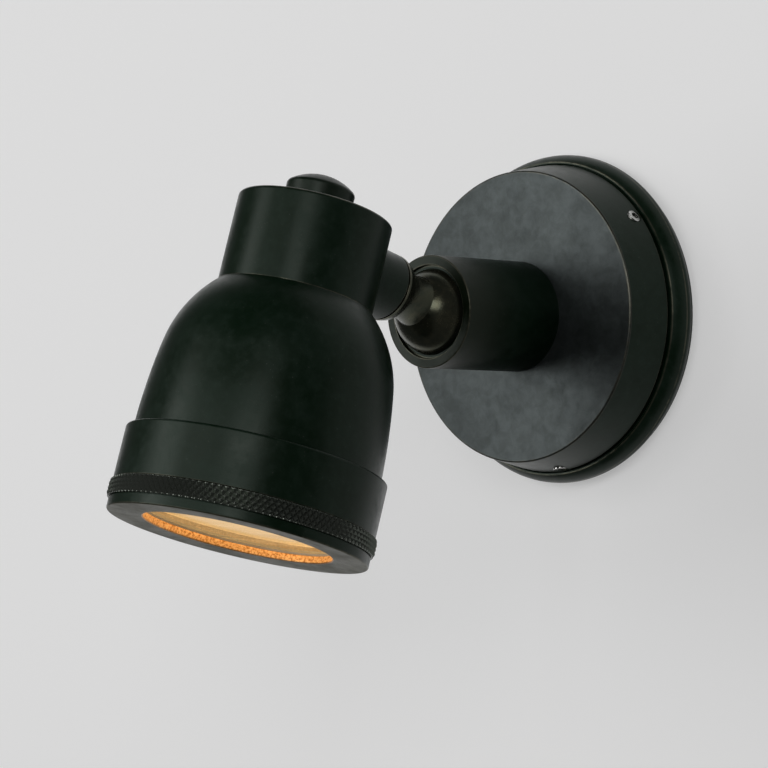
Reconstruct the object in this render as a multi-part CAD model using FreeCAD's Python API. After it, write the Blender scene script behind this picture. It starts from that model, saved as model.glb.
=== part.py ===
import FreeCAD, Part
import math
import os

# Pivoting spotlight wall light: a round wall plate and canopy carry a socket tube,
# a ball stud swivels in the tube, and a bell-shaped lamp head turns on the stud.
# Millimetres. The origin is the centre of the wall plate's rear face, the wall is
# the plane y = 0, the light stands out towards -Y and +Z is up.

Vector = FreeCAD.Vector
origin = Vector(0, 0, 0)
axis_x = Vector(1, 0, 0)
axis_y = Vector(0, 1, 0)
axis_z = Vector(0, 0, 1)

# wall plate: depths are distances out from the wall
plate_radius = 57.15
plate_lip_radius = 54.4
plate_lip_depth = 10.0
plate_rim_middle = 4.3
plate_rim_round = 3.0
plate_foot_radius = 55.2
plate_floor = 4.0
plate_spigot_radius = 48.9
plate_spigot_wall = 3.0
plate_spigot_depth = 19.0
screw_groove_depth = 13.6
wall_slot_spacing = 70.0
wall_slot_length = 9.0
wall_slot_width = 5.0
cable_hole_radius = 8.0
cable_bore_radius = 4.5

# canopy
canopy_rear_radius = 53.3
canopy_front_radius = 50.1
canopy_rear_depth = 10.7
canopy_front_depth = 26.8
canopy_bore_radius = 49.1
canopy_front_wall = 3.3
grub_screw_angles = (51.3, 171.3, 291.3)
grub_screw_radius = 2.45
grub_hole_radius = 2.55

# socket tube and what it holds
tube_radius = 18.9
tube_mouth_depth = 71.4
tube_bore_radius = 15.55
tube_floor_depth = 44.0
tube_spigot_radius = 12.0
tube_spigot_rear = 13.5
wire_way_radius = 6.0
ball_depth = 66.5
ball_radius = 14.9
ball_clearance = 0.05
ring_front_depth = 70.2
ring_rear_depth = 67.0

# ball stud: distances along the stem from the ball's centre
stem_raise = 15.93
stem_radius = 11.3
collar_start = 23.3
collar_end = 26.8
sleeve_start = 27.3
neck_root_radius = 8.6
neck_waist_radius = 7.8
neck_waist = 17.6
shank_radius = 6.5
shank_end = 50.6
stud_bore_radius = 4.0
stop_pin_radius = 0.75
stop_pin_place = 9.7
spigot_radius = 9.0
spigot_end = 45.5
running_gap = 0.05
head_distance = 64.0

# head: heights are above the stem axis, along the head's own axis
head_roll = 2.49
neck_radius = 25.2
neck_wall = 2.0
neck_top = 13.1
neck_ceiling = 10.6
shoulder_height = -16.4
bell_dome_arc = 40.8
bell_side_arc = 207.0
bell_side_level = -71.6
bell_side_radius = 39.94
bell_wall = 1.8
bell_bottom = -72.0
cap_radius = 11.2
cap_edge = 1.5
cap_dome = 17.3
cap_apex = 24.75
cap_stud_radius = 3.0
cap_stud_end = 20.0

# band, screw ring and lens
band_radius = 42.2
band_top = -68.6
band_shoulder = -77.05
band_bottom = -86.35
bezel_radius = 42.1
knurl_radius = 43.1
knurl_top = -86.5
knurl_bottom = -92.05
bezel_groove_radius = 41.6
bezel_side_top = -92.45
bezel_bottom = -95.75
bezel_dish = 0.4
bezel_spigot_radius = 38.95
bezel_spigot_top = -79.5
bezel_ledge = -92.9
bezel_inner_radius = 36.0
aperture_radius = 30.5
lens_radius = 35.6
lens_low = -92.1
lens_thickness = 3.0
clip_wire_radius = 0.8
clip_radius = 35.75

# lampholder and its bracket
bracket_low = 5.4
bracket_thickness = 1.5
holder_screw_place = 9.2
holder_radius = 12.0
holder_bottom = -15.6
pin_spacing = 10.0
pin_head_radius = 2.5
pin_radius = 1.5
lamp_turn = 22.0

# lamp
lamp_radius = 25.0
lamp_neck_radius = 11.4
lamp_top = -15.7
lamp_front = -62.0
lamp_rim = 2.2
lamp_bowl_top = -28.7

# wall side fittings: places across the plate, from its centre
earth_place = (0.0, 32.0)
terminal_height = -31.0
terminal_poles = 3
terminal_pitch = 11.0
terminal_base = 3.0
clamp_screw_offset = 5.2

# springs in the tube
spring_inner = 8.5
spring_outer = 15.2
spring_thickness = 1.5
spring_cone = 0.7
spring_count = 3
spring_pitch = 2.25
seat_rear = 51.95
seat_front = 60.0
seat_inner = 7.5

# key of the seat and its groove in the ball: angles from the ball's rear
key_width = 2.8
key_reach = 13.7
key_low_angle = 31.0
key_high_angle = 38.0
groove_low_angle = -8.0
groove_high_angle = 74.0


# ---------------------------------------------------------------- shape helpers
def corner_arc(before, corner, after, radius):
    # the two tangent points and the centre of a rounded corner
    to_before = (before - corner).normalize()
    to_after = (after - corner).normalize()
    half = to_before.getAngle(to_after) / 2.0
    reach = radius / math.tan(half)
    bisector = (to_before + to_after).normalize()
    centre = corner + bisector * (radius / math.sin(half))
    return corner + to_before * reach, corner + to_after * reach, centre


def outline_edges(points):
    # (r, h) is a sharp corner, (r, h, radius) a rounded one and
    # (r, h, centre r, centre h) ends an arc that starts at the point before
    steps = []
    for index, point in enumerate(points):
        place = Vector(point[0], 0, point[1])
        if len(point) == 3:
            before = points[index - 1]
            after = points[(index + 1) % len(points)]
            before = Vector(before[0], 0, before[1])
            after = Vector(after[0], 0, after[1])
            start, end, centre = corner_arc(before, place, after, point[2])
            steps.append((start, None))
            steps.append((end, centre))
        elif len(point) == 4:
            steps.append((place, Vector(point[2], 0, point[3])))
        else:
            steps.append((place, None))
    edges = []
    start = steps[-1][0]
    for end, centre in steps:
        if centre is None:
            edges.append(Part.LineSegment(start, end).toShape())
        else:
            radius = start.distanceToPoint(centre)
            middle = centre + ((start + end) * 0.5 - centre).normalize() * radius
            edges.append(Part.Arc(start, middle, end).toShape())
        start = end
    return edges


def turned(points):
    # a solid of revolution about Z from an outline of radius and height
    face = Part.Face(Part.Wire(outline_edges(points)))
    return face.revolve(origin, axis_z, 360)


def rod(radius, low, high):
    return Part.makeCylinder(radius, high - low, Vector(0, 0, low))


def ring(inner, outer, low, high):
    return turned([(inner, low), (outer, low), (outer, high), (inner, high)])


def block(size_x, size_y, low, high, centre=(0, 0)):
    corner = Vector(centre[0] - size_x / 2.0, centre[1] - size_y / 2.0, low)
    return Part.makeBox(size_x, size_y, high - low, corner)


def hexagon(across_flats, low, high):
    corner_radius = across_flats / math.sqrt(3)
    corners = []
    for step in range(7):
        turn = math.radians(60 * step)
        corners.append(Vector(corner_radius * math.cos(turn), corner_radius * math.sin(turn), low))
    return Part.Face(Part.makePolygon(corners)).extrude(Vector(0, 0, high - low))


def hex_nut(across_flats, bore, low, high):
    # a nut whose corners are taken off by a cone at both ends
    corner_radius = across_flats / math.sqrt(3)
    flat_radius = across_flats / 2.0
    bevel = (corner_radius - flat_radius) * 0.6
    envelope = turned([
        (0, low), (flat_radius, low), (corner_radius, low + bevel),
        (corner_radius, high - bevel), (flat_radius, high), (0, high)])
    return hexagon(across_flats, low, high).common(envelope).cut(rod(bore, low - 1, high + 1))


def sector(inner, outer, low, high, start_angle, sweep):
    # part of a ring, between two angles about Z
    face = Part.Face(Part.makePolygon([
        Vector(inner, 0, low), Vector(outer, 0, low), Vector(outer, 0, high),
        Vector(inner, 0, high), Vector(inner, 0, low)]))
    piece = face.revolve(origin, axis_z, sweep)
    piece.rotate(origin, axis_z, start_angle)
    return piece


def pan_screw(radius, head_radius, head_height, length):
    # head on top of z = 0, shank below, with a straight slot
    screw = turned([
        (0, -length), (radius - 0.4, -length), (radius, -length + 0.4), (radius, 0),
        (head_radius, 0), (head_radius, head_height, head_height * 0.6), (0, head_height)])
    slot = block(head_radius * 2.4, 0.8, head_height * 0.5, head_height + 1)
    return screw.cut(slot)


def fused(pieces):
    whole = pieces[0]
    for piece in pieces[1:]:
        whole = whole.fuse(piece)
    return whole.removeSplitter()


def group(pieces):
    return Part.makeCompound(pieces)


def moved(shape, place, height=0.0):
    shape.translate(Vector(place[0], place[1], height))
    return shape


# ---------------------------------------------------------------- places
def placed(shape, placement):
    result = shape.copy()
    result.Placement = placement.multiply(result.Placement)
    return result


def on_wall(shape):
    # local z becomes the distance out from the wall
    return placed(shape, FreeCAD.Placement(origin, FreeCAD.Rotation(axis_x, 90)))


ball_centre = Vector(0, -ball_depth, 0)
raise_turn = FreeCAD.Rotation(axis_x, -stem_raise)
roll_turn = FreeCAD.Rotation(axis_y, head_roll)
stem_direction = raise_turn.multVec(Vector(0, -1, 0))
head_centre = ball_centre + stem_direction * head_distance


def on_stud(shape):
    # local z runs from the ball's centre along the stem
    turn = raise_turn.multiply(FreeCAD.Rotation(axis_x, 90))
    return placed(shape, FreeCAD.Placement(ball_centre, turn))


def on_sleeve(shape):
    # as on_stud, and rolled with the head
    turn = raise_turn.multiply(roll_turn).multiply(FreeCAD.Rotation(axis_x, 90))
    return placed(shape, FreeCAD.Placement(ball_centre, turn))


def on_head(shape):
    # local z is up the head's axis and local +y points back to the ball
    return placed(shape, FreeCAD.Placement(head_centre, raise_turn.multiply(roll_turn)))


# ---------------------------------------------------------------- wall side
def wall_plate():
    # the rim is rolled: an arc at the front, a smaller one behind and a foot on the wall
    rim_arc = ((plate_radius - plate_lip_radius) ** 2 + (plate_lip_depth - plate_rim_middle) ** 2) \
        / (2 * (plate_radius - plate_lip_radius))
    rear_centre = plate_radius - plate_rim_round
    rear_end = rear_centre + plate_rim_round * math.cos(math.radians(60))
    rear_depth = plate_rim_middle - plate_rim_round * math.sin(math.radians(60))
    spigot_inner = plate_spigot_radius - plate_spigot_wall
    groove = 1.2
    plate = turned([
        (cable_hole_radius, 0), (plate_foot_radius, 0), (rear_end, rear_depth),
        (plate_radius, plate_rim_middle, rear_centre, plate_rim_middle),
        (plate_lip_radius, plate_lip_depth, plate_radius - rim_arc, plate_rim_middle),
        (plate_lip_radius - 0.6, plate_lip_depth),
        (plate_lip_radius - 1.1, plate_lip_depth - 0.7),
        (plate_spigot_radius, plate_lip_depth - 0.7),
        (plate_spigot_radius, screw_groove_depth - groove),
        (plate_spigot_radius - groove, screw_groove_depth),
        (plate_spigot_radius, screw_groove_depth + groove),
        (plate_spigot_radius, plate_spigot_depth - 0.5),
        (plate_spigot_radius - 0.5, plate_spigot_depth),
        (spigot_inner, plate_spigot_depth), (spigot_inner, plate_floor, 1.5),
        (cable_hole_radius, plate_floor)])
    for side in (-1, 1):
        place = side * wall_slot_spacing / 2.0
        straight = (wall_slot_length - wall_slot_width) / 2.0
        plate = plate.cut(block(2 * straight, wall_slot_width, -1, plate_floor + 1, (place, 0)))
        for end in (-straight, straight):
            hole = rod(wall_slot_width / 2.0, -1, plate_floor + 1)
            plate = plate.cut(moved(hole, (place + end, 0)))
    tapped = [(earth_place, 1.95)]
    for side in (-1, 1):
        tapped.append(((side * terminal_pitch / 2.0, terminal_height), 1.3))
    for place, radius in tapped:
        plate = plate.cut(moved(rod(radius, 0.8, plate_floor + 1), place))
    return on_wall(plate)


def cable_grommet():
    lip = cable_hole_radius + 2.2
    return on_wall(turned([
        (cable_bore_radius, 0.0), (cable_hole_radius - 0.05, 0.0),
        (cable_hole_radius - 0.05, plate_floor + 0.05),
        (lip, plate_floor + 0.05), (lip, plate_floor + 2.0, 0.8),
        (cable_bore_radius, plate_floor + 2.0)]))


def earth_washer():
    low = plate_floor + 0.05
    cup = turned([
        (2.15, low), (4.6, low), (4.6, low + 1.55), (3.9, low + 1.55), (3.9, low + 0.8),
        (2.15, low + 0.8)])
    return on_wall(moved(cup, earth_place))


def earth_screw():
    return on_wall(moved(pan_screw(1.9, 3.6, 2.4, 4.0), earth_place, plate_floor + 0.9))


def pole_place(pole):
    return (pole - (terminal_poles - 1) / 2.0) * terminal_pitch


def terminal_block():
    low = plate_floor + 0.05
    top = low + terminal_base
    tower_top = low + 11.0
    body = block(terminal_poles * terminal_pitch, 9.0, low, top, (0, terminal_height))
    for pole in range(terminal_poles):
        body = body.fuse(block(8.6, 16.0, low, tower_top, (pole_place(pole), terminal_height)))
    body = body.removeSplitter()
    for pole in range(terminal_poles):
        start = Vector(pole_place(pole), terminal_height - 8.5, low + 5.6)
        body = body.cut(Part.makeCylinder(2.0, 17.0, start, axis_y))
        for side in (-1, 1):
            place = (pole_place(pole), terminal_height + side * clamp_screw_offset)
            body = body.cut(moved(rod(1.9, low + 6.0, tower_top + 1), place))
    for side in (-1, 1):
        place = (side * terminal_pitch / 2.0, terminal_height)
        body = body.cut(moved(rod(1.35, 0, tower_top + 1), place))
        body = body.cut(moved(rod(2.6, top, tower_top + 1), place))
    return on_wall(body)


def terminal_fixing_screws():
    screws = []
    for side in (-1, 1):
        place = (side * terminal_pitch / 2.0, terminal_height)
        height = plate_floor + terminal_base + 0.1
        screws.append(on_wall(moved(pan_screw(1.25, 2.3, 1.6, 5.2), place, height)))
    return group(screws)


def terminal_clamp_screws():
    screws = []
    for pole in range(terminal_poles):
        for side in (-1, 1):
            screw = rod(1.8, 0, 2.4).cut(block(4.0, 0.7, 1.6, 3.0))
            place = (pole_place(pole), terminal_height + side * clamp_screw_offset)
            screws.append(on_wall(moved(screw, place, plate_floor + 8.0)))
    return group(screws)


def canopy():
    inner_front = canopy_front_depth - canopy_front_wall
    cup = turned([
        (tube_spigot_radius + 0.1, inner_front), (canopy_bore_radius, inner_front, 1.0),
        (canopy_bore_radius, canopy_rear_depth), (canopy_rear_radius, canopy_rear_depth, 0.4),
        (canopy_front_radius, canopy_front_depth, 0.7),
        (tube_spigot_radius + 0.1, canopy_front_depth)])
    for angle in grub_screw_angles:
        cup = cup.cut(across_canopy(rod(grub_hole_radius, 40.0, 60.0), angle))
    return on_wall(cup)


def across_canopy(shape, angle):
    # local z becomes the radius, at the screws' depth and an angle from the top
    spread = shape.copy()
    spread.rotate(origin, axis_y, 90)
    spread.rotate(origin, axis_z, 90 - angle)
    spread.translate(Vector(0, 0, screw_groove_depth))
    return spread


def canopy_grub_screws():
    tip = plate_spigot_radius - 0.6
    end = canopy_rear_radius - 0.35
    key_depth = 2.4
    screw = turned([
        (0, tip), (0.3, tip), (grub_screw_radius, tip + grub_screw_radius - 0.3),
        (grub_screw_radius, end, 0.3), (0, end)])
    screw = screw.cut(hexagon(2.5, end - key_depth, end + 1))
    return group([on_wall(across_canopy(screw, angle)) for angle in grub_screw_angles])


def socket_tube():
    return on_wall(turned([
        (wire_way_radius, tube_spigot_rear), (tube_spigot_radius, tube_spigot_rear, 0.5),
        (tube_spigot_radius, canopy_front_depth), (tube_radius, canopy_front_depth),
        (tube_radius, tube_mouth_depth, 0.4), (tube_bore_radius, tube_mouth_depth, 0.25),
        (tube_bore_radius, tube_floor_depth), (wire_way_radius, tube_floor_depth)]))


def tube_washer():
    # external-tooth lock washer
    front = canopy_front_depth - canopy_front_wall - 0.02
    washer = ring(tube_spigot_radius + 0.15, 18.5, front - 1.2, front)
    teeth = 12
    for tooth in range(teeth):
        notch = block(2.6, 2.6, front - 2, front + 1, (18.3, 0))
        notch.rotate(origin, axis_z, 360.0 * tooth / teeth)
        washer = washer.cut(notch)
    return on_wall(washer)


def tube_nut():
    front = canopy_front_depth - canopy_front_wall - 1.25
    return on_wall(hex_nut(32.0, tube_spigot_radius + 0.05, front - 5.5, front))


def wire_bush():
    return on_wall(turned([
        (cable_bore_radius, tube_spigot_rear - 1.6), (8.5, tube_spigot_rear - 1.6, 0.5),
        (8.5, tube_spigot_rear - 0.05), (wire_way_radius - 0.05, tube_spigot_rear - 0.05),
        (wire_way_radius - 0.05, tube_spigot_rear + 12.0), (cable_bore_radius, tube_spigot_rear + 12.0)]))


def disc_springs():
    # cupped discs, each turned over against the one before
    springs = []
    for place in range(spring_count):
        low = tube_floor_depth + 0.05 + place * spring_pitch
        inner_low = low + spring_cone * (place % 2)
        outer_low = low + spring_cone * (1 - place % 2)
        springs.append(on_wall(turned([
            (spring_inner, inner_low), (spring_outer, outer_low),
            (spring_outer, outer_low + spring_thickness),
            (spring_inner, inner_low + spring_thickness)])))
    return group(springs)


def thrust_washer():
    return on_wall(ring(spring_inner, 15.4, seat_rear - 1.15, seat_rear - 0.05))


def retaining_ring():
    seat = ball_radius + ball_clearance
    rear_inner = math.sqrt(seat ** 2 - (ring_rear_depth - ball_depth) ** 2)
    front_inner = math.sqrt(seat ** 2 - (ring_front_depth - ball_depth) ** 2)
    return on_wall(turned([
        (rear_inner, ring_rear_depth, 0, ball_depth),
        (tube_bore_radius - 0.05, ring_rear_depth), (tube_bore_radius - 0.05, ring_front_depth),
        (front_inner, ring_front_depth)]))


# ---------------------------------------------------------------- seat
def ball_key(width, inner, outer, low_angle, high_angle):
    # a rib about the ball's centre in the tilting plane; the angles run from the
    # ball's rear towards the top
    side = Part.Face(Part.makePolygon([
        Vector(-width / 2.0, inner, 0), Vector(width / 2.0, inner, 0),
        Vector(width / 2.0, outer, 0), Vector(-width / 2.0, outer, 0),
        Vector(-width / 2.0, inner, 0)]))
    rib = side.revolve(origin, axis_x, high_angle - low_angle)
    rib.rotate(origin, axis_x, low_angle - 90)
    return rib


def friction_seat():
    seat = ball_radius + ball_clearance
    front_radius = math.sqrt(seat ** 2 - (ball_depth - seat_front) ** 2)
    inner_depth = ball_depth - math.sqrt(seat ** 2 - seat_inner ** 2)
    outer = tube_bore_radius - 0.1
    cup = turned([
        (seat_inner, seat_rear), (outer, seat_rear), (outer, seat_front),
        (front_radius, seat_front), (seat_inner, inner_depth, 0, ball_depth)])
    key = ball_key(key_width, key_reach, seat + 0.4, key_low_angle, key_high_angle)
    return on_wall(fused([cup, moved(key, (0, 0), ball_depth)]))


# ---------------------------------------------------------------- ball stud
def ball_stud():
    rear_flat = 5.5
    rear = -math.sqrt(ball_radius ** 2 - rear_flat ** 2)
    root_height = math.sqrt(ball_radius ** 2 - neck_root_radius ** 2)
    narrowing = neck_root_radius - neck_waist_radius
    waist_arc = (narrowing ** 2 + (neck_waist - root_height) ** 2) / (2 * narrowing)
    arc_centre = neck_waist_radius + waist_arc
    collar_root = arc_centre - math.sqrt(waist_arc ** 2 - (collar_start - neck_waist) ** 2)
    stud = turned([
        (stud_bore_radius, rear), (rear_flat, rear), (neck_root_radius, root_height, 0, 0),
        (collar_root, collar_start, arc_centre, neck_waist),
        (stem_radius - 0.8, collar_start, 0.25), (stem_radius, collar_end - 1.0),
        (stem_radius, collar_end, 0.15), (shank_radius, collar_end), (shank_radius, shank_end),
        (stud_bore_radius, shank_end)])
    groove = ball_key(
        key_width + 0.25, key_reach - 0.2, ball_radius + 0.6, groove_low_angle, groove_high_angle)
    return on_stud(stud.cut(groove).cut(stop_pin(collar_end + 1)))


def stop_pin(high):
    # stands beside the stem's axis, on the side that the head's top faces
    pin = moved(rod(stop_pin_radius, collar_start + 0.9, high), (0, stop_pin_place))
    pin.rotate(origin, axis_z, -head_roll)
    return pin


def roll_stop_pin():
    return on_stud(stop_pin(sleeve_start + 2.0))


def seam_washer():
    inner = shank_radius + running_gap
    return on_stud(ring(inner, 8.4, collar_end + 0.02, sleeve_start - running_gap))


def shank_washer():
    return on_stud(ring(shank_radius + running_gap, 9.6, spigot_end + 0.1, 46.5))


def shank_nut():
    return on_stud(hex_nut(17.0, shank_radius + 0.02, 46.52, shank_end - 0.3))


# ---------------------------------------------------------------- head
def neck_cylinder(radius):
    # a cylinder about the head's axis, seen from the stem's frame
    return Part.makeCylinder(radius, 80.0, Vector(0, -40.0, head_distance), axis_y)


def stem_sleeve():
    bore = shank_radius + running_gap
    tube = turned([
        (bore, sleeve_start), (stem_radius, sleeve_start, 0.15), (stem_radius, 50.0),
        (bore, 50.0)]).cut(neck_cylinder(neck_radius))
    spigot = ring(bore, spigot_radius, sleeve_start + 6, spigot_end)
    # the stop pin runs in this track; the web left in it stops the roll
    web = 10.0
    track = sector(
        stop_pin_place - 1.05, stop_pin_place + 1.05, sleeve_start - 1, sleeve_start + 2.3,
        270 + web / 2.0, 360 - web)
    return on_sleeve(fused([tube, spigot]).cut(track))


def saddle_nut():
    nut = ring(spigot_radius + running_gap, 13.5, 38.0, spigot_end - 0.1)
    flats = block(40.0, 19.8, 37.0, 47.0)
    inside = neck_cylinder(neck_radius - neck_wall - 0.02)
    return on_sleeve(nut.common(flats).common(inside))


def bell_arcs(wall):
    # radius and height where the neck meets the dome, where the dome meets the
    # side, where the side ends, and the two arcs' centres
    side_centre = (bell_side_radius - bell_side_arc, bell_side_level)
    start = (neck_radius, shoulder_height)
    gap = bell_side_arc - bell_dome_arc
    across = start[0] - side_centre[0]
    along = start[1] - side_centre[1]
    span = math.hypot(across, along)
    reach = (gap ** 2 - bell_dome_arc ** 2 + span ** 2) / (2 * span)
    offset = math.sqrt(gap ** 2 - reach ** 2)
    dome_centre = (
        side_centre[0] + (across * reach + along * offset) / span,
        side_centre[1] + (along * reach - across * offset) / span)
    slope = math.atan2(dome_centre[1] - side_centre[1], dome_centre[0] - side_centre[0])
    side_r = bell_side_arc - wall
    dome_r = bell_dome_arc - wall
    neck_r = neck_radius - (neck_wall if wall else 0.0)
    neck_h = dome_centre[1] + math.sqrt(dome_r ** 2 - (neck_r - dome_centre[0]) ** 2)
    joint = (side_centre[0] + side_r * math.cos(slope), side_centre[1] + side_r * math.sin(slope))
    end_r = side_centre[0] + math.sqrt(side_r ** 2 - (bell_bottom - side_centre[1]) ** 2)
    return (neck_r, neck_h), joint, (end_r, bell_bottom), dome_centre, side_centre


def lamp_housing():
    outer_neck, outer_joint, outer_end, dome_centre, side_centre = bell_arcs(0.0)
    inner_neck, inner_joint, inner_end, dome_centre, side_centre = bell_arcs(bell_wall)
    bore = cap_stud_radius + running_gap
    shell = turned([
        (bore, neck_ceiling), (inner_neck[0], neck_ceiling, 0.5), inner_neck,
        (*inner_joint, *dome_centre), (*inner_end, *side_centre),
        outer_end, (*outer_joint, *side_centre), (*outer_neck, *dome_centre),
        (neck_radius, neck_top, 1.0), (bore, neck_top)])
    start = Vector(0, neck_radius - 8.0, 0)
    side_hole = Part.makeCylinder(spigot_radius + running_gap, 12.0, start, axis_y)
    return on_head(shell.cut(side_hole))


def top_cap():
    dome_centre = cap_apex - cap_dome
    edge_radius = cap_radius - cap_edge
    edge_height = dome_centre + math.sqrt((cap_dome - cap_edge) ** 2 - edge_radius ** 2)
    reach = cap_dome / (cap_dome - cap_edge)
    join = (edge_radius * reach, dome_centre + (edge_height - dome_centre) * reach)
    cap = turned([
        (0, neck_top), (cap_radius - 0.35, neck_top, 0.3), (cap_radius, edge_height),
        (*join, edge_radius, edge_height), (0, cap_apex, 0, dome_centre)])
    return on_head(cap.cut(rod(cap_stud_radius + running_gap, neck_top - 1, cap_stud_end + 0.2)))


def cap_stud():
    under = bracket_low - running_gap
    return on_head(turned([
        (0, under - 0.85), (4.5, under - 0.85), (4.5, under), (cap_stud_radius, under),
        (cap_stud_radius, cap_stud_end, 0.5), (0, cap_stud_end)]))


def stud_nut():
    low = bracket_low + bracket_thickness + running_gap
    return on_head(hex_nut(9.0, cap_stud_radius + 0.02, low, neck_ceiling - running_gap))


def holder_bracket():
    high = bracket_low + bracket_thickness
    bar = block(27.0, 11.0, bracket_low, high)
    bar = bar.cut(rod(cap_stud_radius + running_gap, bracket_low - 1, high + 1))
    for side in (-1, 1):
        hole = rod(1.6, bracket_low - 1, high + 1)
        bar = bar.cut(moved(hole, (side * holder_screw_place, 0)))
    return on_head(bar)


def holder_screws():
    high = bracket_low + bracket_thickness + 0.02
    screws = []
    for side in (-1, 1):
        screw = pan_screw(1.5, 2.6, 1.8, 9.0)
        screws.append(on_head(moved(screw, (side * holder_screw_place, 0), high)))
    return group(screws)


def lampholder():
    # ceramic, with two keyhole slots that the lamp's pins turn in
    top = bracket_low - 0.02
    recess = 4.4
    holder = turned([
        (0, recess), (4.9, recess), (4.9, top), (holder_radius, top),
        (holder_radius, -9.0, 0.8), (holder_radius - 0.9, -10.2),
        (holder_radius - 0.9, holder_bottom), (0, holder_bottom)])
    inner = pin_spacing / 2.0
    stem_gap = pin_radius + 0.3
    head_gap = pin_head_radius + 0.3
    mouth = holder_bottom - 1
    web = holder_bottom + 3.6
    floor = holder_bottom + 7.6
    for side in (0, 180):
        start = 90 + side
        stem_slot = sector(inner - stem_gap, inner + stem_gap, mouth, web + 0.1, start, lamp_turn)
        head_slot = sector(inner - head_gap, inner + head_gap, web, floor, start, lamp_turn)
        holder = holder.cut(stem_slot).cut(head_slot)
        for radius, high, angle in (
                (stem_gap, web + 0.1, start), (head_gap, floor, start + lamp_turn)):
            holder = holder.cut(around(rod(radius, mouth, high), inner, angle))
        holder = holder.cut(around(rod(head_gap, web, floor), inner, start))
        hole = rod(1.55, top - 9.0, top + 1)
        holder = holder.cut(around(hole, holder_screw_place, side))
    return on_head(holder)


def around(shape, radius, angle):
    # moved out along x, then turned about Z
    result = moved(shape, (radius, 0))
    result.rotate(origin, axis_z, angle)
    return result


# ---------------------------------------------------------------- lamp
def lamp_pins():
    pins = []
    for side in (-1, 1):
        pin = turned([
            (0, lamp_top - 3.0), (pin_radius, lamp_top - 3.0), (pin_radius, holder_bottom + 4.0),
            (pin_head_radius, holder_bottom + 4.0), (pin_head_radius, holder_bottom + 6.8, 0.5),
            (0, holder_bottom + 6.8)])
        pins.append(on_head(moved(pin, (0, side * pin_spacing / 2.0))))
    return group(pins)


def lamp_body():
    wall = 1.4
    rim_floor = lamp_front + lamp_rim
    body = turned([
        (0, lamp_top), (lamp_neck_radius, lamp_top, 0.8),
        (lamp_neck_radius + 0.6, lamp_top - 9.0, 2.0), (lamp_radius - 0.6, lamp_front + 7.0, 4.0),
        (lamp_radius, lamp_front + 4.0), (lamp_radius, rim_floor),
        (lamp_radius - wall, rim_floor), (lamp_radius - wall, lamp_front + 5.0),
        (9.0, lamp_bowl_top, 3.0), (0, lamp_bowl_top)])
    for side in (-1, 1):
        hole = rod(pin_radius + running_gap, lamp_top - 3.1, lamp_top + 1)
        body = body.cut(moved(hole, (0, side * pin_spacing / 2.0)))
    return on_head(body)


def lamp_capsule():
    top = lamp_bowl_top - running_gap
    return on_head(turned([(0, top), (3.6, top), (3.6, top - 15.0, 2.2), (0, top - 18.0)]))


def lamp_cover():
    high = lamp_front + lamp_rim - running_gap
    return on_head(turned([
        (0, lamp_front), (lamp_radius, lamp_front, 0.8), (lamp_radius, high), (0, high)]))


# ---------------------------------------------------------------- foot of the bell
def inner_liner():
    # spun cone between the lamp's face and the lens, clamped under the bell's edge
    top = lamp_front - 1.0
    low = band_shoulder + running_gap
    outer = bell_side_radius - 2.0
    return on_head(turned([
        (28.2, top), (29.2, top), (36.6, low + 1.0), (outer, low + 1.0), (outer, low),
        (36.0, low)]))


def band_ring():
    bore = bell_side_radius + 0.06
    thread = bezel_spigot_radius + 0.06
    relief = bezel_spigot_top + 0.6
    ledge = bell_bottom - running_gap
    return on_head(turned([
        (bore, band_top), (band_radius, band_top, 0.8), (band_radius, band_bottom, 0.3),
        (thread, band_bottom), (thread, relief), (37.0, relief), (37.0, band_shoulder),
        (38.2, band_shoulder), (38.2, ledge), (bore, ledge)]))


def bezel_ring():
    groove = clip_wire_radius + 0.1
    clip_height = lens_low + lens_thickness + groove
    mouth = math.sqrt(groove ** 2 - (bezel_inner_radius - clip_radius) ** 2)
    return on_head(turned([
        (aperture_radius, bezel_bottom + bezel_dish, 0.3), (bezel_radius, bezel_bottom, 0.5),
        (bezel_radius, bezel_side_top), (bezel_groove_radius, bezel_side_top + 0.2),
        (bezel_groove_radius, knurl_bottom), (knurl_radius - 0.7, knurl_bottom),
        (knurl_radius, knurl_bottom + 0.7), (knurl_radius, knurl_top - 0.45),
        (knurl_radius - 0.45, knurl_top), (bezel_spigot_radius, knurl_top),
        (bezel_spigot_radius, bezel_spigot_top, 0.5), (bezel_inner_radius, bezel_spigot_top),
        (bezel_inner_radius, clip_height + mouth),
        (bezel_inner_radius, clip_height - mouth, clip_radius, clip_height),
        (bezel_inner_radius, bezel_ledge), (aperture_radius, bezel_ledge, 0.3)]))


def lens_gasket():
    low = bezel_ledge + running_gap
    return on_head(ring(aperture_radius + 0.2, lens_radius, low, lens_low - running_gap))


def lens_glass():
    high = lens_low + lens_thickness
    return on_head(turned([
        (0, lens_low), (lens_radius, lens_low, 0.5), (lens_radius, high, 0.5), (0, high)]))


def lens_clip():
    # open ring of round wire
    opening = 25.0
    height = lens_low + lens_thickness + clip_wire_radius + 0.1
    circle = Part.makeCircle(clip_wire_radius, Vector(clip_radius, 0, height), axis_y)
    clip = Part.Face(Part.Wire(circle)).revolve(origin, axis_z, 360 - opening)
    clip.rotate(origin, axis_z, 90 + opening / 2.0)
    return on_head(clip)


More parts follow.
